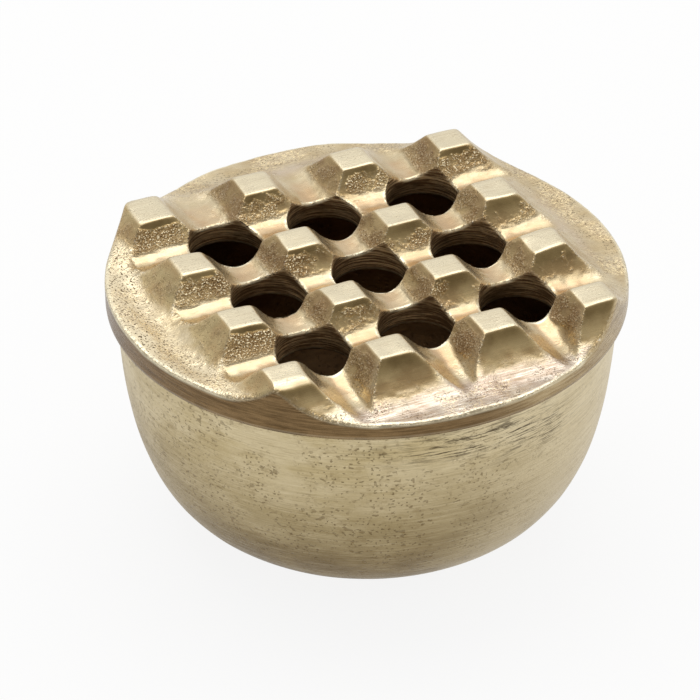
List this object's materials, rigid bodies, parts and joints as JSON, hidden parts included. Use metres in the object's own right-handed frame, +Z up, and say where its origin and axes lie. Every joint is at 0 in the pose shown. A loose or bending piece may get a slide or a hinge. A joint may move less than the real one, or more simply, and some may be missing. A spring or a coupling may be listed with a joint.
{
  "type": "flower frog",
  "caption": "Round cast brass bowl with a thick lift-off lid: a waffle grid of square studs with stem holes where its grooves cross.",
  "frame": {"origin": "middle of the bowl's flat base, on the surface that it stands on", "axes": "+Z up, the way the lid lifts; the lid's grooves run along X and Y"},
  "size_m": [0.1098, 0.1098, 0.0612],
  "materials": {
    "bowl_brass": "pale cast brass, satin, turned and brushed round its side, with small dark casting pits",
    "lid_brass": "pale cast brass: brushed stud tops and borders, rough sand-cast stud faces with brown patina, dark turned stem holes"
  },
  "bodies": {
    "bowl": {"bowl": "bowl_brass"},
    "lid": {"grid_lid": "lid_brass"}
  },
  "joints": [
    {"name": "lid_lift", "type": "slide", "parent": "bowl", "child": "lid", "axis": [0, 0, 1], "range_m": [0, 0.06]}
  ]
}
